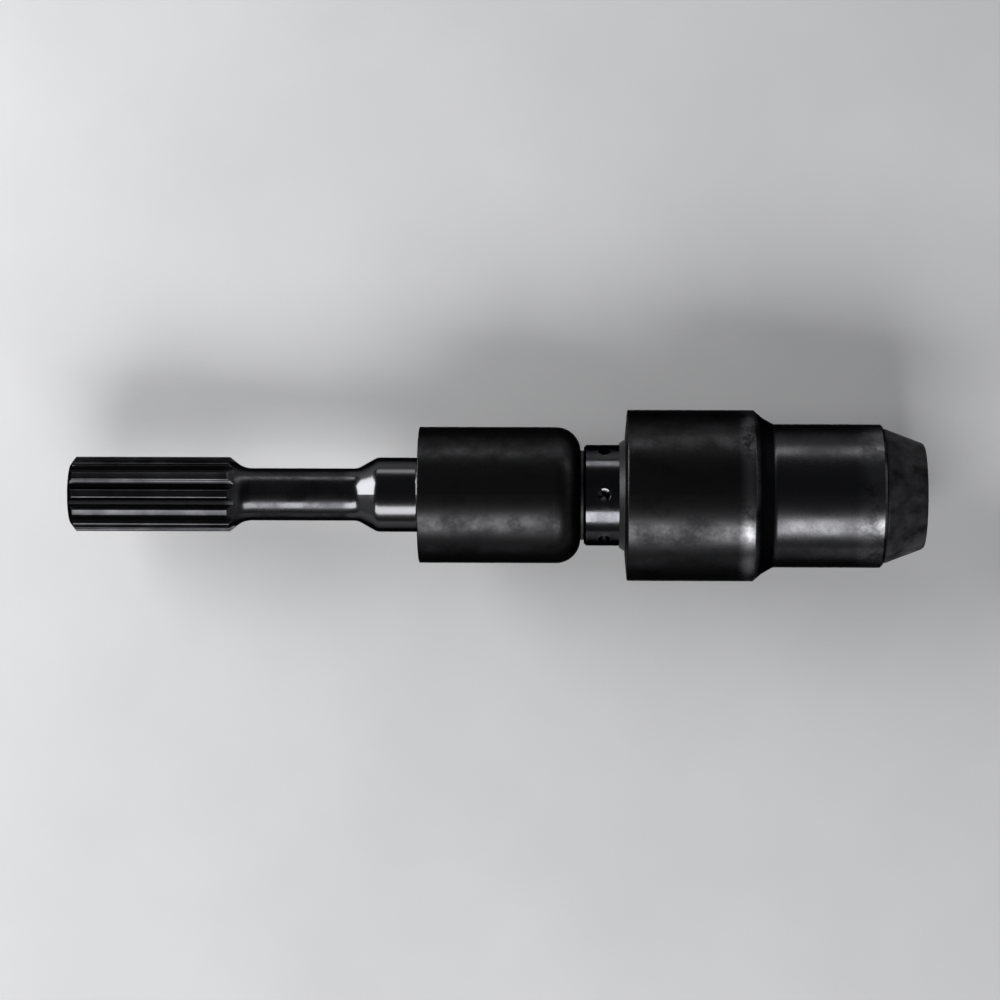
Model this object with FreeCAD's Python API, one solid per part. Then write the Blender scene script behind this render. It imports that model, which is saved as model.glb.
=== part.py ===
import FreeCAD, Part
import math
import os

# Rotary-hammer shank adapter: 3/4 in twelve-tooth spline drive at the back, keyless quick-change
# socket for 10 mm slotted shanks at the front.  Millimetres.  X runs along the axis from the
# impact face (X = 0) to the nose, +Z is up, and the two balls sit at +Z and -Z.

# ---- driving dimensions -------------------------------------------------------------------------
LENGTH = 218.1          # impact face to the front of the dust cap

SPLINE_R = 9.525        # 3/4 in over the teeth
SPLINE_ROOT_R = 8.30
SPLINE_TEETH = 12
SPLINE_END = 40.3
TOOTH_HALF_TOP = 7.4    # degrees, half the land of a tooth
TOOTH_HALF_ROOT = 11.6  # degrees, half the foot of a tooth
TOOTH_EDGE_R = 0.55
NECK_R = 6.7
FLANGE_X = 89.4
FLANGE_R = 17.4
FLANGE_END = 130.6
FLANGE_CORNER_R = 6.3
SOCKET_R = 10.03
SOCKET_BOTTOM = 108.0

HOLDER_REAR = 113.0
HOLDER_SHOULDER = 131.4
HOLDER_JOURNAL_R = 12.9
HOLDER_JOURNAL_END = 147.0
HOLDER_R = 10.0
HOLDER_NOSE_R = 9.4
HOLDER_FRONT = 213.5
ANVIL_BORE_R = 6.5
TOOL_BORE_R = 5.05      # running clearance on a 10 mm shank
TOOL_BOTTOM = 153.0
KEY_FLAT = 3.5          # drive ribs reach this close to the axis
KEY_WIDTH = 4.2
KEY_END = 189.0
SPANNER_HOLES = 6
SPANNER_HOLE_R = 1.7
SPANNER_HOLE_X = 136.6

BALL_R = 3.5
BALL_X = 177.0
BALL_PITCH_R = 7.0      # ball centres from the axis when locked
BALL_SLOT_R = 3.55
BALL_SLOT_REAR = 159.55

GRIP_REAR = 142.4
REAR_CROWN = 0.55       # the rear face of the sleeve stands this much proud near its bore
GRIP_R = 21.85
NOSE_R = 18.3
GRIP_FRONT = 207.4
INNER_R = 14.6          # bore of the inner sleeve
INNER_OUTER_R = 16.2

SPRING_WIRE_R = 0.85
SPRING_R = 12.4
SPRING_TURNS = 4.75

AXIS = FreeCAD.Vector(1, 0, 0)
ORIGIN = FreeCAD.Vector(0, 0, 0)


# ---- helpers ------------------------------------------------------------------------------------
def at(x, r):
    """A point of a turned profile: x along the axis, r from it."""
    return FreeCAD.Vector(x, 0, r)


def turned(points):
    """A solid of revolution about X from (x, r) or (x, r, corner_radius) points."""
    edges = []
    count = len(points)
    starts = []
    ends = []
    mids = []
    for i, point in enumerate(points):
        corner = at(point[0], point[1])
        if len(point) == 2:
            starts.append(corner)
            ends.append(corner)
            mids.append(None)
            continue
        before = points[i - 1]
        after = points[(i + 1) % count]
        u = at(before[0], before[1]).sub(corner).normalize()
        v = at(after[0], after[1]).sub(corner).normalize()
        half = u.getAngle(v) / 2
        bisector = u.add(v).normalize()
        reach = point[2] / math.tan(half)
        starts.append(corner.add(u * reach))
        ends.append(corner.add(v * reach))
        mids.append(corner.add(bisector * (point[2] / math.sin(half) - point[2])))
    for i in range(count):
        if mids[i] is not None:
            edges.append(Part.Arc(starts[i], mids[i], ends[i]).toShape())
        after = (i + 1) % count
        if ends[i].distanceToPoint(starts[after]) > 1e-6:
            edges.append(Part.LineSegment(ends[i], starts[after]).toShape())
    face = Part.Face(Part.Wire(edges))
    return face.revolve(ORIGIN, AXIS, 360)


def ring(x0, x1, r0, r1, edge=0.2):
    """A plain washer or bush with its four edges broken."""
    return turned([
        (x0, r0 + edge), (x0, r1 - edge), (x0 + edge, r1), (x1 - edge, r1),
        (x1, r1 - edge), (x1, r0 + edge), (x1 - edge, r0), (x0 + edge, r0),
    ])


def rod(x0, x1, r):
    """A plain cylinder on the axis."""
    return Part.makeCylinder(r, x1 - x0, FreeCAD.Vector(x0, 0, 0), AXIS)


def turn(shape, degrees):
    """A copy of a shape turned about the axis."""
    copy = shape.copy()
    copy.rotate(ORIGIN, AXIS, degrees)
    return copy


def both_ways(shape):
    """A shape and its twin on the other side of the axis."""
    return [shape, turn(shape, 180)]


def around(r, degrees):
    """A point at X = 0 at radius r, its angle measured from +Z."""
    a = math.radians(degrees)
    return FreeCAD.Vector(0, r * math.sin(a), r * math.cos(a))


# ---- spline shank -------------------------------------------------------------------------------
def spline_section():
    """The outline of the toothed shank; a tooth faces straight up."""
    pitch = 360.0 / SPLINE_TEETH
    edge_deg = math.degrees(TOOTH_EDGE_R / SPLINE_R)
    edges = []
    for i in range(SPLINE_TEETH):
        mid = i * pitch
        foot = around(SPLINE_ROOT_R, mid - TOOTH_HALF_ROOT)
        rise = around(SPLINE_R - TOOTH_EDGE_R, mid - TOOTH_HALF_TOP - 0.3)
        land = around(SPLINE_R, mid - TOOTH_HALF_TOP + edge_deg)
        land_end = around(SPLINE_R, mid + TOOTH_HALF_TOP - edge_deg)
        fall = around(SPLINE_R - TOOTH_EDGE_R, mid + TOOTH_HALF_TOP + 0.3)
        heel = around(SPLINE_ROOT_R, mid + TOOTH_HALF_ROOT)
        next_foot = around(SPLINE_ROOT_R, mid + pitch - TOOTH_HALF_ROOT)
        edge_in = around(SPLINE_R - 0.29 * TOOTH_EDGE_R, mid - TOOTH_HALF_TOP + 0.3 * edge_deg)
        edge_out = around(SPLINE_R - 0.29 * TOOTH_EDGE_R, mid + TOOTH_HALF_TOP - 0.3 * edge_deg)
        edges.append(Part.LineSegment(foot, rise).toShape())
        edges.append(Part.Arc(rise, edge_in, land).toShape())
        edges.append(Part.Arc(land, around(SPLINE_R, mid), land_end).toShape())
        edges.append(Part.Arc(land_end, edge_out, fall).toShape())
        edges.append(Part.LineSegment(fall, heel).toShape())
        root = around(SPLINE_ROOT_R, mid + pitch / 2)
        edges.append(Part.Arc(heel, root, next_foot).toShape())
    return Part.Face(Part.Wire(edges))


def make_spline_shank():
    """One forging: spline, neck, collar and the flange body that the holder screws into."""
    blank_r = SPLINE_R + 0.07
    blank = turned([
        (0, 0), (0, 7.65, 0.3), (1.46, blank_r), (SPLINE_END + 0.5, blank_r, 1.4),
        (44.3, NECK_R, 6.0), (73.6, NECK_R, 4.0), (78.6, SPLINE_R, 3.0),
        (FLANGE_X, SPLINE_R, 0.8), (FLANGE_X, FLANGE_R, 0.25),
        (FLANGE_END, FLANGE_R, FLANGE_CORNER_R),
        (FLANGE_END, SOCKET_R + 0.4), (FLANGE_END - 0.4, SOCKET_R), (SOCKET_BOTTOM, SOCKET_R),
        (SOCKET_BOTTOM, 0),
    ])
    run_out = 44.0
    teeth = spline_section().extrude(FreeCAD.Vector(run_out + 1, 0, 0))
    teeth.translate(FreeCAD.Vector(-1, 0, 0))
    waste = rod(-1, run_out, 15).cut(teeth)
    return blank.cut(waste)


# ---- tool holder and what is fixed on it ----------------------------------------------------------
def make_anvil():
    """Impact pin: passes the blow from the socket's floor to the shank of the tool."""
    head_r = 9.0
    stem_r = ANVIL_BORE_R - 0.05
    return turned([
        (SOCKET_BOTTOM, 0), (SOCKET_BOTTOM, head_r - 0.8), (SOCKET_BOTTOM + 0.8, head_r),
        (HOLDER_REAR - 0.5, head_r), (HOLDER_REAR, head_r - 0.5), (HOLDER_REAR, stem_r),
        (TOOL_BOTTOM - 0.8, stem_r), (TOOL_BOTTOM, stem_r - 0.8), (TOOL_BOTTOM, 0),
    ])


def make_holder_blank():
    """The turned blank of the tool holder, bored right through."""
    return turned([
        (HOLDER_REAR, ANVIL_BORE_R + 0.4), (HOLDER_REAR, HOLDER_R - 0.8),
        (HOLDER_REAR + 0.8, HOLDER_R), (116.0, HOLDER_R), (116.0, 8.3), (118.4, 8.3),
        (118.4, HOLDER_R), (HOLDER_SHOULDER, HOLDER_R), (HOLDER_SHOULDER, HOLDER_JOURNAL_R - 0.6),
        (HOLDER_SHOULDER + 0.6, HOLDER_JOURNAL_R), (HOLDER_JOURNAL_END - 0.3, HOLDER_JOURNAL_R),
        (HOLDER_JOURNAL_END, HOLDER_JOURNAL_R - 0.3), (HOLDER_JOURNAL_END, HOLDER_R),
        (190.3, HOLDER_R), (190.3, 9.25), (192.0, 9.25), (192.0, HOLDER_R),
        (207.5, HOLDER_R), (207.5, 8.6), (210.0, 8.6), (210.0, HOLDER_NOSE_R),
        (HOLDER_FRONT - 0.6, HOLDER_NOSE_R), (HOLDER_FRONT, HOLDER_NOSE_R - 0.6),
        (HOLDER_FRONT, TOOL_BORE_R + 0.8), (HOLDER_FRONT - 0.8, TOOL_BORE_R),
        (191.5, TOOL_BORE_R), (191.2, 5.6), (189.8, 5.6), (189.5, TOOL_BORE_R),
        (TOOL_BOTTOM, TOOL_BORE_R), (TOOL_BOTTOM, ANVIL_BORE_R),
        (HOLDER_REAR + 0.4, ANVIL_BORE_R),
    ])


def make_ball_window():
    """A radial slot that lets a ball reach the bore but not fall through into it."""
    straight = BALL_X - BALL_SLOT_REAR
    rear = FreeCAD.Vector(BALL_SLOT_REAR, 0, BALL_PITCH_R)
    front = FreeCAD.Vector(BALL_X, 0, BALL_PITCH_R)
    up = FreeCAD.Vector(0, 0, 1)
    window = Part.makeCylinder(BALL_SLOT_R, straight, rear, AXIS)
    window = window.fuse(Part.makeSphere(BALL_SLOT_R, rear))
    window = window.fuse(Part.makeSphere(BALL_SLOT_R, front))
    window = window.fuse(Part.makeCylinder(BALL_SLOT_R, 6, rear, up))
    window = window.fuse(Part.makeCylinder(BALL_SLOT_R, 6, front, up))
    slab_corner = rear.add(FreeCAD.Vector(0, -BALL_SLOT_R, 0))
    return window.fuse(Part.makeBox(straight, 2 * BALL_SLOT_R, 6, slab_corner))


def make_tool_holder():
    """Hardened holder: two drive ribs, two ball windows, spanner holes round the journal."""
    holder = make_holder_blank()
    for window in both_ways(make_ball_window()):
        holder = holder.cut(window)
    rib_corner = FreeCAD.Vector(TOOL_BOTTOM, KEY_FLAT, -KEY_WIDTH / 2)
    rib = Part.makeBox(KEY_END - TOOL_BOTTOM, 3.0, KEY_WIDTH, rib_corner)
    for one in both_ways(rib):
        holder = holder.fuse(one)
    depth = 2.5
    foot = FreeCAD.Vector(SPANNER_HOLE_X, 0, HOLDER_JOURNAL_R - depth)
    hole = Part.makeCylinder(SPANNER_HOLE_R, depth + 1, foot, FreeCAD.Vector(0, 0, 1))
    tip = Part.makeCone(0, SPANNER_HOLE_R, 0.8, foot.sub(FreeCAD.Vector(0, 0, 0.8)),
                        FreeCAD.Vector(0, 0, 1))
    hole = hole.fuse(tip)
    for i in range(SPANNER_HOLES):
        holder = holder.cut(turn(hole, i * 360.0 / SPANNER_HOLES))
    return holder.removeSplitter()


def make_body_oring():
    """Rubber ring that keeps hammering from shaking the screwed joint loose."""
    middle = FreeCAD.Vector(117.2, 0, 0)
    return Part.makeTorus(9.15, 0.8, middle, AXIS)


def make_spring():
    """Coil spring round the holder, wound on a plain helix."""
    x0 = 148.2 + SPRING_WIRE_R
    x1 = 169.6 - SPRING_WIRE_R
    pitch = (x1 - x0) / SPRING_TURNS
    path = Part.makeHelix(pitch, x1 - x0, SPRING_R)
    wire_end = Part.Wire(Part.makeCircle(
        SPRING_WIRE_R, FreeCAD.Vector(SPRING_R, 0, 0), FreeCAD.Vector(0, 1, 0)))
    coil = Part.Wire(path).makePipeShell([wire_end], True, True)
    coil.rotate(ORIGIN, FreeCAD.Vector(0, 1, 0), 90)
    coil.translate(FreeCAD.Vector(x0, 0, 0))
    return coil


def make_snap_ring():
    """Round-wire ring, open at the bottom, that takes the end load of the sleeve."""
    hoop = Part.makeTorus(10.1, 0.8, FreeCAD.Vector(191.15, 0, 0), AXIS)
    gap = Part.makeBox(4, 3.0, 6, FreeCAD.Vector(189.2, -1.5, -13))
    return hoop.cut(gap)


def make_dust_cap():
    """Rubber nose: snaps into the holder's groove and funnels the shank into the bore."""
    return turned([
        (197.0, 14.6), (197.0, 16.4), (197.4, 16.6), (GRIP_FRONT + 0.25, 16.6),
        (GRIP_FRONT + 0.25, 17.1, 0.08), (208.2, 17.1, 0.3), (210.9, 16.05, 4.0),
        (LENGTH, 13.3, 1.2), (LENGTH, 9.4, 0.8), (214.0, 5.3, 0.6), (HOLDER_FRONT, 5.3),
        (HOLDER_FRONT, HOLDER_NOSE_R - 0.6), (HOLDER_FRONT - 0.6, HOLDER_NOSE_R + 0.04),
        (209.95, HOLDER_NOSE_R + 0.04), (209.95, 8.65), (207.55, 8.65),
        (207.55, HOLDER_R + 0.05), (205.5, HOLDER_R + 0.05), (205.5, 13.6, 0.8),
        (204.0, 14.6),
    ])


# ---- release sleeve -------------------------------------------------------------------------------
def make_grip_shell():
    """The outer sleeve, knurl-free: broad grip, concave step and a slim front barrel."""
    fit = INNER_OUTER_R + 0.05
    return turned([
        (GRIP_REAR - REAR_CROWN, 15.55), (GRIP_REAR, GRIP_R, 0.5), (174.5, GRIP_R, 0.5),
        (176.7, 19.95, 6.0), (179.6, NOSE_R, 2.0), (GRIP_FRONT - 0.6, NOSE_R),
        (GRIP_FRONT, NOSE_R - 0.6), (GRIP_FRONT, 17.0), (186.6, 17.0), (186.6, fit),
        (176.0, fit), (171.0, 18.9, 1.0), (148.9, 18.9, 1.0), (147.4, fit),
        (143.4, fit), (143.4, 15.55),
    ])


def make_inner_sleeve():
    """Steel liner of the grip; its front lip carries the locking ring."""
    front = 188.8
    return turned([
        (143.4, INNER_R + 0.3), (143.4, INNER_OUTER_R - 0.3), (143.7, INNER_OUTER_R),
        (186.58, INNER_OUTER_R), (186.58, 15.55), (187.82, 15.55), (187.82, INNER_OUTER_R),
        (front - 0.4, INNER_OUTER_R), (front, INNER_OUTER_R - 0.4), (front, 13.4),
        (187.3, 13.4), (187.3, INNER_R), (143.7, INNER_R),
    ])


def make_locking_ring():
    """Hardened ring: its land holds the balls in, its ramp frees them as the sleeve goes back."""
    land_r = BALL_PITCH_R + BALL_R + 0.1
    ramp_x = 176.7
    front = 187.3
    ramp = 0.25
    return turned([
        (172.8, land_r + 2.0), (172.8, INNER_R - 0.35), (173.1, INNER_R - 0.05),
        (front - 0.3, INNER_R - 0.05), (front, INNER_R - 0.35),
        (front, land_r + ramp * (front - ramp_x)), (ramp_x, land_r), (174.8, land_r),
    ])


def make_rear_wiper():
    """Rubber wiper set in the back of the grip, its lip on the journal."""
    bore = HOLDER_JOURNAL_R + 0.05
    return turned([
        (GRIP_REAR, 15.5), (GRIP_REAR, 14.6, 0.5), (140.4, 13.4, 0.15), (140.4, bore),
        (143.4, bore), (143.4, 15.5),
    ])


def make_ball_plate():
    """Spring plate with two tabs that bear on the backs of the balls."""
    plate = ring(169.6, 171.58, HOLDER_R + 0.1, 14.4)
    foot = Part.makeBox(1.8, 6.8, 4.2, FreeCAD.Vector(169.78, -3.4, 7.6))
    finger = Part.makeBox(2.6, 6.8, 1.8, FreeCAD.Vector(170.85, -3.4, 7.6))
    for tab in both_ways(foot.fuse(finger)):
        plate = plate.fuse(tab)
    return plate.removeSplitter()


# ---- the parts list -------------------------------------------------------------------------------
ball = Part.makeSphere(BALL_R, FreeCAD.Vector(BALL_X, 0, BALL_PITCH_R))
clip_middle = FreeCAD.Vector(187.2, 0, 0)
clip_gap = Part.makeBox(3, 4.0, 6, FreeCAD.Vector(185.8, -2.0, -19.5))

parts = {
    "spline_shank": make_spline_shank(),
    "anvil": make_anvil(),
    "body_oring": make_body_oring(),
    "lock_washer": ring(FLANGE_END, HOLDER_SHOULDER, 10.05, 11.45, 0.1),
    "tool_holder": make_tool_holder(),
    "spring_seat": ring(HOLDER_JOURNAL_END, 148.2, 10.05, 14.3),
    "release_spring": make_spring(),
    "stop_washer": ring(188.85, 190.35, 10.05, 15.2),
    "snap_ring": make_snap_ring(),
    "dust_cap": make_dust_cap(),
    "thrust_washer": ring(171.6, 172.78, 10.15, 14.5),
    "grip_shell": make_grip_shell(),
    "inner_sleeve": make_inner_sleeve(),
    "locking_ring": make_locking_ring(),
    "rear_guide_ring": ring(143.4, 146.4, HOLDER_JOURNAL_R + 0.05, INNER_R - 0.05),
    "rear_wiper": make_rear_wiper(),
    "sleeve_clip": Part.makeTorus(16.2, 0.6, clip_middle, AXIS).cut(clip_gap),
    "ball_plate": make_ball_plate(),
    "ball_top": ball,
    "ball_bottom": turn(ball, 180),
}

os.makedirs("parts", exist_ok=True)
for name, shape in parts.items():
    box = shape.BoundBox
    print(f"{name:16s} valid {shape.isValid()}  solids {len(shape.Solids)}  "
          f"volume {shape.Volume:9.1f}  X {box.XMin:7.2f} .. {box.XMax:7.2f}")
    shape.exportStep(f"parts/{name}.step")
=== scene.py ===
# %% [markdown]
# # A shank adapter for a rotary hammer
# The real object is nearly all steel: a splined forging, a hardened tool holder and a release sleeve, each blackened
# in a different way, with a rubber cap on the nose. Its shapes come packed from CAD in metres, with X along the axis,
# so this lesson is about finishes, one coil spring and the light. The CAD model is loaded first, because every
# position below is read from it.

# %% Load the model
import bpy
import math
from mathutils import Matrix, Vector


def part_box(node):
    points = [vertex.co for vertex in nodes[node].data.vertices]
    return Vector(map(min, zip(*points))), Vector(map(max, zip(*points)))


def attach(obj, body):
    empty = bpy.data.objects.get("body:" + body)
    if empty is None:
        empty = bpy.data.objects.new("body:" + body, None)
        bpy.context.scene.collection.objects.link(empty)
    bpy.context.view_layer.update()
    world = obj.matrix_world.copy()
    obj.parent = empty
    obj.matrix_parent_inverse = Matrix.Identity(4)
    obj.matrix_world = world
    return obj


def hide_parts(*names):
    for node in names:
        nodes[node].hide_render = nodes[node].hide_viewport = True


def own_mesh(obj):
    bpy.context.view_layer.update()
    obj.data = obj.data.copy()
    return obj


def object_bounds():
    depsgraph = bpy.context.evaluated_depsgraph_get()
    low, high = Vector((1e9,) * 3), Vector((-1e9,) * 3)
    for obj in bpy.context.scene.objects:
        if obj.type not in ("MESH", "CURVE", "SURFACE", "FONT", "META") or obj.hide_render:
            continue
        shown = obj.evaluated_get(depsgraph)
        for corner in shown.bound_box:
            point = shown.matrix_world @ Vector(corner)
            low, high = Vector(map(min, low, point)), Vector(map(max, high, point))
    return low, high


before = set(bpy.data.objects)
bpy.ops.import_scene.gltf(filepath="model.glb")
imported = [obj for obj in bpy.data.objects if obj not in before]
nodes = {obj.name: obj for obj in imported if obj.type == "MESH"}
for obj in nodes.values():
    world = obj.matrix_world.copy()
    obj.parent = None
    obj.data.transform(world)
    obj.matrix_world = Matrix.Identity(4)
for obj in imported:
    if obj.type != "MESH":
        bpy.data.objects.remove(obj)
cad_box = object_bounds()
low, high = (Vector(corner) for corner in cad_box)

# %% [markdown]
# ## Two helpers for materials
# Colours are easiest to pick as sRGB hex values, the ones a colour picker shows, but shaders add light, which needs
# linear numbers. One function turns one into the other. A second one adds a node with its settings and links, so that
# a material reads as a list of what it is made of. A group of ready-made nodes would hide what each finish does.

# %% Colours and nodes
def linear(hex_code):
    """An sRGB colour such as '2b2b2d' as linear red, green, blue and alpha."""
    channels = [int(hex_code[i:i + 2], 16) / 255 for i in (0, 2, 4)]
    return [c / 12.92 if c <= 0.04045 else ((c + 0.055) / 1.055) ** 2.4 for c in channels] + [1.0]


def add(tree, kind, inputs=None, **settings):
    """Adds a node: settings are its own properties, inputs are values or other nodes' outputs."""
    new = tree.nodes.new(kind)
    for name, value in settings.items():
        setattr(new, name, value)
    for socket, value in (inputs or {}).items():
        if isinstance(value, bpy.types.NodeSocket):
            tree.links.new(value, new.inputs[socket])
        else:
            new.inputs[socket].default_value = value
    return new


def new_material(name):
    """An empty material: its tree, its shader, and coordinates in millimetres that stay with the piece."""
    material = bpy.data.materials.new(name)
    material.use_nodes = True
    tree = material.node_tree
    tree.nodes.clear()
    shader = add(tree, "ShaderNodeBsdfPrincipled")
    add(tree, "ShaderNodeOutputMaterial", {"Surface": shader.outputs[0]})
    place = add(tree, "ShaderNodeTexCoord").outputs["Object"]
    mm = add(tree, "ShaderNodeVectorMath", {0: place, "Scale": 1000.0}, operation="SCALE").outputs[0]
    return material, tree, shader, mm


def scaled(tree, mask, low_value, high_value, low_in=0.0, high_in=1.0):
    """A mask stretched so that it runs from one value to another."""
    return add(tree, "ShaderNodeMapRange", {
        "Value": mask, "From Min": low_in, "From Max": high_in, "To Min": low_value, "To Max": high_value,
    }).outputs[0]


def mixed(tree, mask, first, second):
    """One colour where the mask is 0 and the other where it is 1."""
    return add(tree, "ShaderNodeMix", {0: mask, 6: first, 7: second}, data_type="RGBA").outputs[2]


print("steel grey 8a8a8c in linear light:", [round(c, 3) for c in linear("8a8a8c")])

# %% [markdown]
# ## What a blackened surface is made of
# Seen close, black steel isn't one black. The oxide grows in blotches a few millimetres across, tumbling or blasting
# leaves a fine grain, the lathe leaves rings round the axis, and the edges wear back to brighter metal. Each of these
# is a mask with its real size in millimetres. The rings could be drawn with a wave texture, but a wave repeats, and
# noise stretched round the axis gives the uneven spacing of a real tool's feed.

# %% Masks in real sizes
NOISE_SPAN = (0.35, 0.65)     # the middle of the noise, which is stretched over the whole mask
GRAIN_SPAN = (0.35, 0.60)
EDGE_SPAN = (0.80, 0.985)     # agreement of the real and the rounded normal, from a sharp edge to a flat


def blotches(tree, mm, size, detail=3.0, seed=0.0):
    """Soft cloudy patches about size mm across."""
    moved = add(tree, "ShaderNodeVectorMath", {0: mm, 1: (seed, seed, seed)}).outputs[0]
    return add(tree, "ShaderNodeTexNoise", {
        "Vector": moved, "Scale": 1.0 / size, "Detail": detail, "Roughness": 0.55,
    }).outputs[0]


def turning_rings(tree, mm, pitch):
    """Rings round the axis with an uneven spacing of about pitch mm: stretched noise of the distance along X."""
    along = add(tree, "ShaderNodeVectorMath", {0: mm, 1: (1.0, 0.015, 0.015)}, operation="MULTIPLY").outputs[0]
    return add(tree, "ShaderNodeTexNoise", {"Vector": along, "Scale": 1.0 / pitch, "Detail": 2.0}).outputs[0]


def worn_edges(tree, width_mm, grain):
    """1 along sharp outer edges and 0 on flats, broken up by a grain mask. It compares the real normal with one
    that is rounded over width_mm, which differ only near an edge."""
    rounded = add(tree, "ShaderNodeBevel", {"Radius": width_mm / 1000}, samples=6).outputs[0]
    true_normal = add(tree, "ShaderNodeNewGeometry").outputs["Normal"]
    normals = {0: rounded, 1: true_normal}
    same = add(tree, "ShaderNodeVectorMath", normals, operation="DOT_PRODUCT").outputs["Value"]
    edge = scaled(tree, same, 1.0, 0.0, *EDGE_SPAN)
    broken = scaled(tree, grain, 0.0, 1.0, *GRAIN_SPAN)
    return add(tree, "ShaderNodeMath", {0: edge, 1: broken}, operation="MULTIPLY").outputs[0]


def zone(tree, mm, start, end, soft):
    """1 between two places along the axis, in mm, fading over soft mm at each end."""
    x = add(tree, "ShaderNodeSeparateXYZ", {0: mm}).outputs[0]
    up = scaled(tree, x, 0.0, 1.0, start - soft / 2, start + soft / 2)
    down = scaled(tree, x, 1.0, 0.0, end - soft / 2, end + soft / 2)
    return add(tree, "ShaderNodeMath", {0: up, 1: down}, operation="MULTIPLY").outputs[0]


def relief(tree, shader, height, depth_mm):
    """Small bumps from a mask: depth_mm is the height of a full step."""
    bump = add(tree, "ShaderNodeBump", {"Height": height, "Distance": depth_mm / 1000, "Strength": 1.0})
    tree.links.new(bump.outputs[0], shader.inputs["Normal"])


print("masks ready: blotches, turning rings, worn edges, zones")

# %% [markdown]
# ## Blackened steels
# Black oxide is a skin of magnetite a micrometre thick on steel. It conducts, so the shader is metallic with a very
# dark colour, and it keeps little shine at a flat angle, so the edge tint is turned down too. What differs from piece
# to piece is what was done to the steel before blackening: the grip is tumbled and blasted, the journal is ground, and
# the spline is left as it was hobbed. One function makes all of them from real sizes.

# %% Black oxide finishes
EDGE_TINT = "3c3c3e"
WORN_STEEL = "8d8c8a"
GRAIN_MM, GRAIN_SHARE = 0.9, 0.3
OXIDE_SPAN = (0.50, 0.82)
EDGE_MM = 0.35


def black_oxide(name, dark, pale, rough, blotch_mm, ring_mm, ring_depth, wear):
    """Steel blackened in hot salts: the oxide's two tones, and its lowest and highest roughness."""
    material, tree, shader, mm = new_material(name)
    patch = blotches(tree, mm, blotch_mm, detail=2.0)
    grain = blotches(tree, mm, GRAIN_MM, detail=2.0, seed=40.0)
    layers = {0: grain, 1: GRAIN_SHARE, 2: patch}
    both = add(tree, "ShaderNodeMath", layers, operation="MULTIPLY_ADD").outputs[0]
    mottle = scaled(tree, both, 0.0, 1.0, *OXIDE_SPAN)
    edge = worn_edges(tree, EDGE_MM, grain)
    rings = turning_rings(tree, mm, ring_mm)
    oxide = mixed(tree, mottle, linear(dark), linear(pale))
    worn = add(tree, "ShaderNodeMath", {0: edge, 1: wear}, operation="MULTIPLY").outputs[0]
    tree.links.new(mixed(tree, worn, oxide, linear(WORN_STEEL)), shader.inputs["Base Color"])
    tree.links.new(scaled(tree, mottle, rough[1], rough[0]), shader.inputs["Roughness"])
    relief(tree, shader, rings, ring_depth)
    shader.inputs["Metallic"].default_value = 1.0
    shader.inputs["Specular Tint"].default_value = linear(EDGE_TINT)
    return material, tree, shader, mm, mottle


finishes = {}
finishes["ground_holder"] = black_oxide(
    "black_oxide_ground_steel", dark="3a3a3d", pale="4a4a4d", rough=(0.13, 0.20), blotch_mm=5.0, ring_mm=0.4,
    ring_depth=0.0015, wear=0.5)[0]
print("black oxide:", sorted(finishes))

# %% [markdown]
# ## One forging, three surfaces
# The shank is a single piece, but its surface changes along it: hobbed teeth and a turned neck, then a cone and a
# collar that are polished because they run in the hammer's bush, then the blasted flange body. Splitting the mesh
# into three materials would put hard lines where the real surfaces fade into each other, so one material changes with
# the distance along the axis. Between the teeth its colour also darkens towards the axis, as painted shade.

# %% The shank's finish
TEETH_END = 41.0
GROOVE_RADIUS = (8.3, 9.3)
POLISH = (71.0, 89.6)
BODY = (89.4, 140.0)
FADE, SHARP_FADE = 2.0, 0.2
TEETH_ROUGH, POLISH_ROUGH, BODY_ROUGH = 0.26, 0.20, (0.30, 0.42)
GROOVE_SHADE_TONE, POLISHED_TONE, BODY_TONES = "19191a", "48484a", ("1d1d1e", "2d2d2e")


def shank_finish():
    """Black oxide whose roughness and tone change along the shank."""
    material, tree, shader, mm, mottle = black_oxide(
        "black_oxide_forged_steel", dark="2d2d2f", pale="3e3e40", rough=(0.20, 0.32), blotch_mm=7.0, ring_mm=0.5,
        ring_depth=0.003, wear=0.45)
    polished = zone(tree, mm, *POLISH, FADE)
    body = zone(tree, mm, *BODY, SHARP_FADE)
    colour_link = shader.inputs["Base Color"].links[0].from_socket
    rough_link = shader.inputs["Roughness"].links[0].from_socket
    hobbed = zone(tree, mm, -1.0, TEETH_END, FADE)
    toothed = add(tree, "ShaderNodeMix", {0: hobbed, 2: rough_link, 3: TEETH_ROUGH}).outputs[0]
    # Painted shade: between the teeth the colour darkens towards the axis, deepest in the grooves.
    off_axis = {0: mm, 1: (0.0, 1.0, 1.0)}
    across = add(tree, "ShaderNodeVectorMath", off_axis, operation="MULTIPLY").outputs[0]
    radius = add(tree, "ShaderNodeVectorMath", {0: across}, operation="LENGTH").outputs["Value"]
    deep = scaled(tree, radius, 1.0, 0.0, *GROOVE_RADIUS)
    groove_shade = add(tree, "ShaderNodeMath", {0: hobbed, 1: deep}, operation="MULTIPLY").outputs[0]
    groove_shaded = mixed(tree, groove_shade, colour_link, linear(GROOVE_SHADE_TONE))
    shiny = mixed(tree, polished, groove_shaded, linear(POLISHED_TONE))
    blasted = mixed(tree, mottle, linear(BODY_TONES[0]), linear(BODY_TONES[1]))
    tree.links.new(mixed(tree, body, shiny, blasted), shader.inputs["Base Color"])
    smooth = add(tree, "ShaderNodeMix", {0: polished, 2: toothed, 3: POLISH_ROUGH}).outputs[0]
    matt = scaled(tree, mottle, BODY_ROUGH[1], BODY_ROUGH[0])
    ends = add(tree, "ShaderNodeMix", {0: body, 2: smooth, 3: matt}).outputs[0]
    tree.links.new(ends, shader.inputs["Roughness"])
    return material


finishes["forged_shank"] = shank_finish()
print("polished from", POLISH[0], "to", POLISH[1], "mm along the axis")
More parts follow.
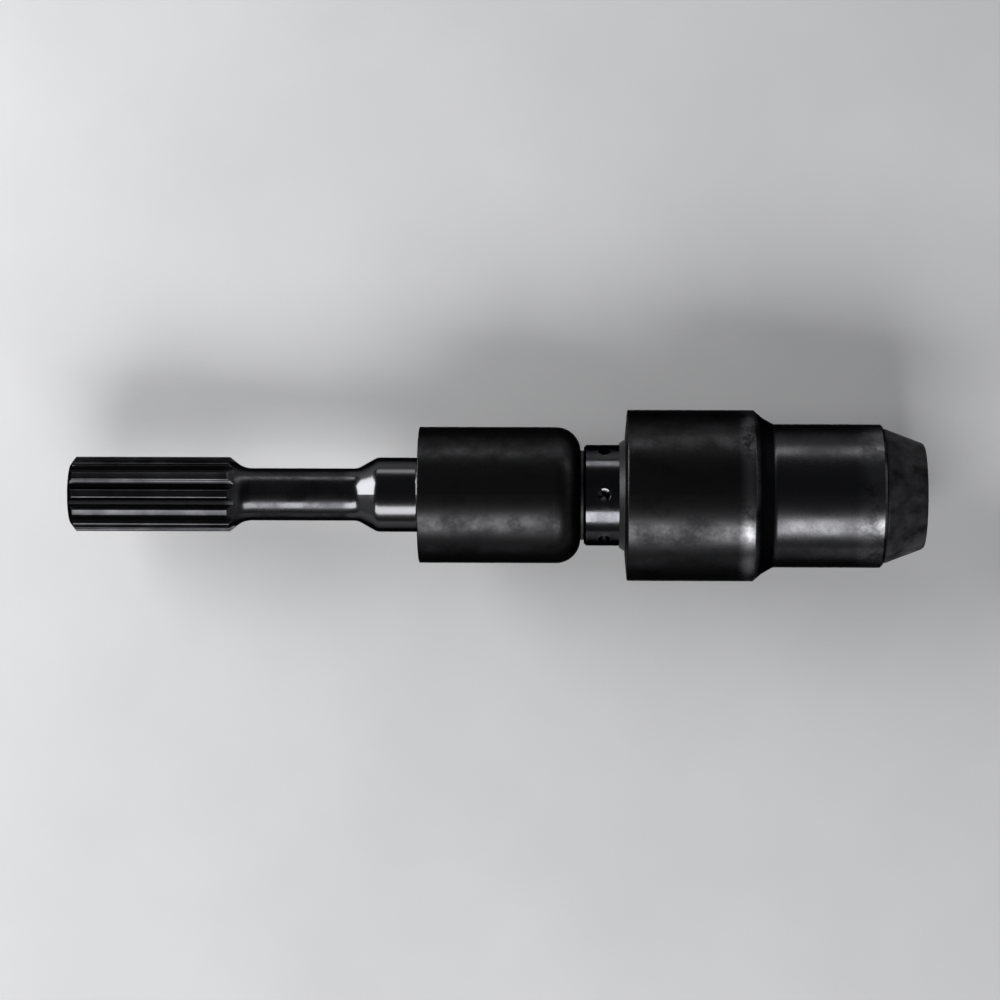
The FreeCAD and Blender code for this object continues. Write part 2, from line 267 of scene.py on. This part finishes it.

# %% [markdown]
# ## The sleeve's two surfaces
# The sleeve is blasted where the hand holds it, so it doesn't slip. Its front barrel is only turned, so it is smoother
# and a little lighter. The cone between them, which the blast reached at a slant, is the dullest, and its dark colour
# is painted shade.
# Both front edges carry a painted highlight, a lighter tone near each rim.

# %% The sleeve's finish
CONE = (174.6, 179.4)
BARREL = (179.4, 210.0)
GRIP_RIM, BARREL_RIM = (171.5, 174.6), (201.5, 210.0)
CONE_ROUGH, BARREL_ROUGH = 0.46, (0.24, 0.32)
CONE_SHADE_TONE, BARREL_TONES, RIM_HIGHLIGHT_TONE = "0f0f10", ("333335", "434345"), "626264"


def sleeve_finish():
    """Black oxide that is blasted on the grip, dull on the cone and smooth on the barrel."""
    material, tree, shader, mm, mottle = black_oxide(
        "black_oxide_blasted_steel", dark="1e1e1f", pale="303031", rough=(0.27, 0.43), blotch_mm=9.0, ring_mm=0.6,
        ring_depth=0.004, wear=0.35)
    cone = zone(tree, mm, *CONE, 0.6)
    barrel = zone(tree, mm, *BARREL, 0.6)
    colour_link = shader.inputs["Base Color"].links[0].from_socket
    rough_link = shader.inputs["Roughness"].links[0].from_socket
    turned = mixed(tree, mottle, linear(BARREL_TONES[0]), linear(BARREL_TONES[1]))
    # Painted shade: the cone between grip and barrel gets the darkest tone.
    cone_shaded = mixed(tree, cone, colour_link, linear(CONE_SHADE_TONE))
    plain = mixed(tree, barrel, cone_shaded, turned)
    # Painted highlight: a lighter tone, broken by the mottle, near the grip's and the barrel's front rims.
    grip_edge = zone(tree, mm, *GRIP_RIM, 2.5)
    barrel_edge = zone(tree, mm, *BARREL_RIM, 4.0)
    rims = {0: grip_edge, 1: barrel_edge}
    rim_highlight_zone = add(tree, "ShaderNodeMath", rims, operation="MAXIMUM").outputs[0]
    painted_rim_highlight = add(tree, "ShaderNodeMath", {0: rim_highlight_zone, 1: mottle}, operation="MULTIPLY").outputs[0]
    tree.links.new(mixed(tree, painted_rim_highlight, plain, linear(RIM_HIGHLIGHT_TONE)), shader.inputs["Base Color"])
    dull = add(tree, "ShaderNodeMix", {0: cone, 2: rough_link, 3: CONE_ROUGH}).outputs[0]
    smooth = scaled(tree, mottle, BARREL_ROUGH[1], BARREL_ROUGH[0])
    along_sleeve = add(tree, "ShaderNodeMix", {0: barrel, 2: dull, 3: smooth}).outputs[0]
    tree.links.new(along_sleeve, shader.inputs["Roughness"])
    return material


finishes["blasted_grip"] = sleeve_finish()
print("smooth barrel from", BARREL[0], "mm along the axis")

# %% [markdown]
# ## Rubber
# The nose and the wiper are moulded nitrile rubber. Rubber isn't a metal: it has a plain surface shine at an IOR of
# about 1.52, a high roughness, and a faint mould texture. Dust and oil make it uneven, so its roughness is blotchy,
# and a dusty nose shines less than a clean seal.

# %% Moulded rubber
RUBBER_IOR = 1.52
MOULD_GRAIN_DEPTH = 0.02


def moulded_rubber(name, dark, pale, rough, texture_mm, shine, blotch_mm=6.0):
    """Nitrile rubber with the fine grain of a spark-eroded mould."""
    material, tree, shader, mm = new_material(name)
    patch = blotches(tree, mm, blotch_mm)
    grain = blotches(tree, mm, texture_mm, detail=4.0, seed=11.0)
    mottle = scaled(tree, patch, 0.0, 1.0, *NOISE_SPAN)
    tree.links.new(mixed(tree, mottle, linear(dark), linear(pale)), shader.inputs["Base Color"])
    tree.links.new(scaled(tree, mottle, rough[1], rough[0]), shader.inputs["Roughness"])
    relief(tree, shader, grain, MOULD_GRAIN_DEPTH)
    shader.inputs["IOR"].default_value = RUBBER_IOR
    shader.inputs["Specular IOR Level"].default_value = shine
    return material


finishes["nose_rubber"] = moulded_rubber(
    "moulded_nitrile_nose", "0a0a0b", "28282a", (0.42, 0.62), 0.6, shine=0.06, blotch_mm=4.5)
finishes["seal_rubber"] = moulded_rubber(
    "moulded_nitrile_seal", "0c0c0c", "151515", (0.40, 0.55), 0.5, shine=0.16)
print("rubber ready")

# %% [markdown]
# ## Plain steels and bronze
# Hidden pieces matter when the sleeve is drawn back or the bore is looked into. Zinc-plated washers, hardened ground
# steel, polished balls, phosphated steel and a bronze bush are all metals with different tones and roughness, so one
# function with real scratch and blotch sizes serves them all.

# %% Bright and grey metals
def bare_metal(name, dark, pale, rough, ring_mm, ring_depth, blotch_mm=3.0):
    """A turned, ground or plated metal: two tones, uneven roughness and fine rings."""
    material, tree, shader, mm = new_material(name)
    mottle = scaled(tree, blotches(tree, mm, blotch_mm), 0.0, 1.0, *NOISE_SPAN)
    rings = turning_rings(tree, mm, ring_mm)
    tree.links.new(mixed(tree, mottle, linear(dark), linear(pale)), shader.inputs["Base Color"])
    tree.links.new(scaled(tree, mottle, rough[0], rough[1]), shader.inputs["Roughness"])
    relief(tree, shader, rings, ring_depth)
    shader.inputs["Metallic"].default_value = 1.0
    return material


finishes["zinc_plate"] = bare_metal("zinc_plated_steel", "b9bcc0", "d8d9da", (0.22, 0.34), 0.5, 0.002)
finishes["hardened"] = bare_metal("hardened_ground_steel", "8c8b88", "a9a8a5", (0.16, 0.28), 0.4, 0.002)
finishes["ball"] = bare_metal("polished_ball_steel", "bdbec0", "cfd0d2", (0.06, 0.12), 2.0, 0.0003)
finishes["spring"] = bare_metal("oil_tempered_spring_wire", "4d4c4a", "6a6865", (0.28, 0.40), 0.8, 0.003)
finishes["phosphate"] = bare_metal("manganese_phosphated_steel", "2c2c2b", "3d3d3b", (0.50, 0.65), 0.6, 0.004)
finishes["bronze"] = bare_metal("sintered_bronze", "8a6a3c", "a8844e", (0.35, 0.50), 0.5, 0.003, blotch_mm=1.5)
print("metals:", len(finishes), "finishes so far")

# %% [markdown]
# ## Giving each piece its finish
# The record groups the CAD nodes by material slot, which is close to what is needed, but the look follows how each
# piece was made. A table of piece names reads more plainly than a rule worked out from the slots.

# %% Finishes by piece
finish_of = {
    "spline_shank": "forged_shank", "tool_holder": "ground_holder", "grip_shell": "blasted_grip",
    "dust_cap": "nose_rubber", "rear_wiper": "seal_rubber", "body_oring": "seal_rubber",
    "lock_washer": "phosphate", "spring_seat": "zinc_plate", "stop_washer": "zinc_plate",
    "thrust_washer": "zinc_plate", "anvil": "hardened", "locking_ring": "hardened", "snap_ring": "spring",
    "sleeve_clip": "spring", "release_spring": "spring", "inner_sleeve": "phosphate", "ball_plate": "phosphate",
    "rear_guide_ring": "bronze", "ball_top": "ball", "ball_bottom": "ball",
}
for name, piece in nodes.items():
    piece.data.materials.clear()
    piece.data.materials.append(finishes[finish_of[name]])
print("finished", len(finish_of), "pieces with", len(set(finish_of.values())), "materials")

# %% [markdown]
# ## The spring
# CAD holds the spring as a plain helix. The real one has its end turns closed up and ground flat, so that it stands
# square on its seat. A tube swept along a path of points does that: the pitch is small in the end turns and wide
# between them. It is attached to the spindle and keeps its length. It doesn't follow the ball plate's own travel,
# so at that limit the plate enters the coil, inside the sleeve.

# %% Wind the spring
COIL_RADIUS, WIRE_RADIUS, TURNS = 0.0124, 0.00085, 5.5
CLOSED_TURNS = 0.9
STEPS_PER_TURN, SIDES = 40, 12
GROUND = 0.55            # how far the first turn's centre stands from its seat, in wire radii: under 1 is ground flat
CLOSED_PITCH = 2.05      # rise of a closed turn, in wire radii: 2 would make neighbours touch
EASING = 1.6


def wind_spring(name, x0, x1, mean_r, wire_r, turns):
    """A coil round X from x0 to x1, in metres, with closed end turns whose outer faces are ground flat."""
    middle_turns = turns - 2 * CLOSED_TURNS
    first = x0 + GROUND * wire_r
    last = x1 - GROUND * wire_r
    end_rise = CLOSED_TURNS * CLOSED_PITCH * wire_r
    steps = int(turns * STEPS_PER_TURN)
    verts = []
    for i in range(steps + 1):
        t = turns * i / steps
        if t < CLOSED_TURNS:
            x = first + end_rise * (t / CLOSED_TURNS) ** EASING
        elif t > turns - CLOSED_TURNS:
            x = last - end_rise * ((turns - t) / CLOSED_TURNS) ** EASING
        else:
            open_length = last - first - 2 * end_rise
            x = first + end_rise + open_length * (t - CLOSED_TURNS) / middle_turns
        a = 2 * math.pi * t
        for j in range(SIDES):
            b = 2 * math.pi * j / SIDES
            r = mean_r + wire_r * math.cos(b)
            along = min(max(x + wire_r * math.sin(b), x0), x1)
            verts.append((along, r * math.sin(a), r * math.cos(a)))
    faces = [tuple(reversed(range(SIDES))), tuple(steps * SIDES + j for j in range(SIDES))]
    for i in range(steps):
        for j in range(SIDES):
            k = (j + 1) % SIDES
            a, b = i * SIDES, (i + 1) * SIDES
            faces.append((a + j, a + k, b + k, b + j))
    mesh = bpy.data.meshes.new(name)
    mesh.from_pydata(verts, [], faces)
    mesh.validate()
    for face in mesh.polygons:
        face.use_smooth = len(face.vertices) == 4
    coil = bpy.data.objects.new(name, mesh)
    bpy.context.scene.collection.objects.link(coil)
    return coil


seat_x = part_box("spring_seat")[1].x
plate_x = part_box("ball_plate")[0].x
coil = wind_spring("release_spring_coil", seat_x, plate_x, COIL_RADIUS, WIRE_RADIUS, TURNS)
coil.data.materials.append(finishes["spring"])
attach(coil, "spindle")
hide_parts("release_spring")
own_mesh(coil)

# %% [markdown]
# ## Floor and light
# The adapter lies on a plain pale surface and is seen from above. Black metal shows nothing of its own
# colour, only what it reflects, so the lights are long strips beside it: a wide one towards the bottom of the view
# that draws the broad highlight, and a low thin one on the far side for the second, fainter line. A round piece can't
# mirror a light that stands off its end, so a third lamp there only lightens the card, apart from a glint on the cone.
# The room is dim, with a paler wall off each end of the adapter. From above those walls don't show in the steel, and
# from any other side they keep it from going flat black.

# %% Floor
FLOOR_SIZE, FLOOR_X, FLOOR_GAP = 6.0, 0.1, 0.0002
CARD_PATCH_MM, CARD_SPAN = 60.0, (0.3, 0.7)
floor_z = low.z
bpy.ops.mesh.primitive_plane_add(size=FLOOR_SIZE, location=(FLOOR_X, 0, floor_z - FLOOR_GAP))
floor = bpy.context.object
floor.name = "floor"
floor_material, tree, shader, mm = new_material("pale_studio_card")
tone = scaled(tree, blotches(tree, mm, CARD_PATCH_MM), 0.0, 1.0, *CARD_SPAN)
tree.links.new(mixed(tree, tone, linear("a4a4a5"), linear("aaaaab")), shader.inputs["Base Color"])
shader.inputs["Roughness"].default_value = 0.9
floor.data.materials.append(floor_material)
print("floor at z =", round(1000 * floor_z, 2), "mm")

# %% Lights
centre = Vector(((low.x + high.x) / 2, 0, 0))


def strip_light(name, tilt_deg, side, distance, length, width, radiance, shift_x):
    """A white strip along X: tilt_deg from straight up, on the side of +Y (1) or -Y (-1), moved along by shift_x."""
    tilt = math.radians(tilt_deg)
    data = bpy.data.lights.new(name, "AREA")
    data.shape = "RECTANGLE"
    data.size, data.size_y = length, width
    data.energy = radiance * math.pi * length * width
    lamp = bpy.data.objects.new(name, data)
    toward = Vector((shift_x, side * math.sin(tilt), math.cos(tilt)))
    lamp.location = centre + distance * toward.normalized()
    lamp.rotation_euler = (centre - lamp.location).to_track_quat("-Z", "Y").to_euler()
    lamp.visible_camera = False
    bpy.context.scene.collection.objects.link(lamp)


strip_light("key_strip", 50, -1, 0.9, 0.85, 0.40, 10.0, shift_x=-0.12)
strip_light("far_strip", 76, 1, 1.0, 1.5, 0.24, 3.2, shift_x=0.30)
strip_light("end_fill", 40, 1, 0.62, 0.42, 0.42, 12.5, shift_x=-1.75)
WALL_SPAN = (0.35, 0.80)      # how far a direction leans along the axis, from bare room to full wall
TOP_SPAN = (0.45, 0.75)       # how far it leans upward, from full wall to bare ceiling
world = bpy.data.worlds.new("dim_room")
world.use_nodes = True
room = world.node_tree
direction = add(room, "ShaderNodeTexCoord").outputs["Generated"]
split = add(room, "ShaderNodeSeparateXYZ", {0: direction}).outputs
along = add(room, "ShaderNodeMath", {0: split[0]}, operation="ABSOLUTE").outputs[0]
facing_end = scaled(room, along, 0.0, 1.0, *WALL_SPAN)
below_top = scaled(room, split[2], 1.0, 0.0, *TOP_SPAN)
wall = add(room, "ShaderNodeMath", {0: facing_end, 1: below_top}, operation="MULTIPLY").outputs[0]
background = room.nodes["Background"]
room.links.new(mixed(room, wall, linear("424345"), linear("b4b5b8")), background.inputs["Color"])
background.inputs["Strength"].default_value = 1.0
bpy.context.scene.world = world
bpy.context.scene.view_settings.view_transform = "Standard"

# %% [markdown]
# ## Camera
# The camera stands nearly a metre up, a little towards the nose, and is turned back to aim at the middle. A sideways
# lens shift could do the same, but it would push the nose out of the picture from every other side.

# %% Camera
CAMERA_HEIGHT = 0.880
CAMERA_X, CAMERA_Y, AIM_X = 0.1310, -0.00122, 0.1100
LENS_MM, SENSOR_MM = 123.9, 36
NEAREST = 0.01
LEVEL_DEG = 0.17
camera = bpy.data.objects.new("camera", bpy.data.cameras.new("camera"))
camera.data.lens = LENS_MM
camera.data.sensor_width = SENSOR_MM
camera.data.clip_start = NEAREST
camera.location = (CAMERA_X, CAMERA_Y, CAMERA_HEIGHT)
side_turn = math.atan((CAMERA_X - AIM_X) / CAMERA_HEIGHT)
camera.rotation_euler = (0, side_turn, math.radians(LEVEL_DEG))
bpy.context.scene.collection.objects.link(camera)
bpy.context.scene.camera = camera
print("camera", CAMERA_HEIGHT, "m above the axis, lens", LENS_MM, "mm")
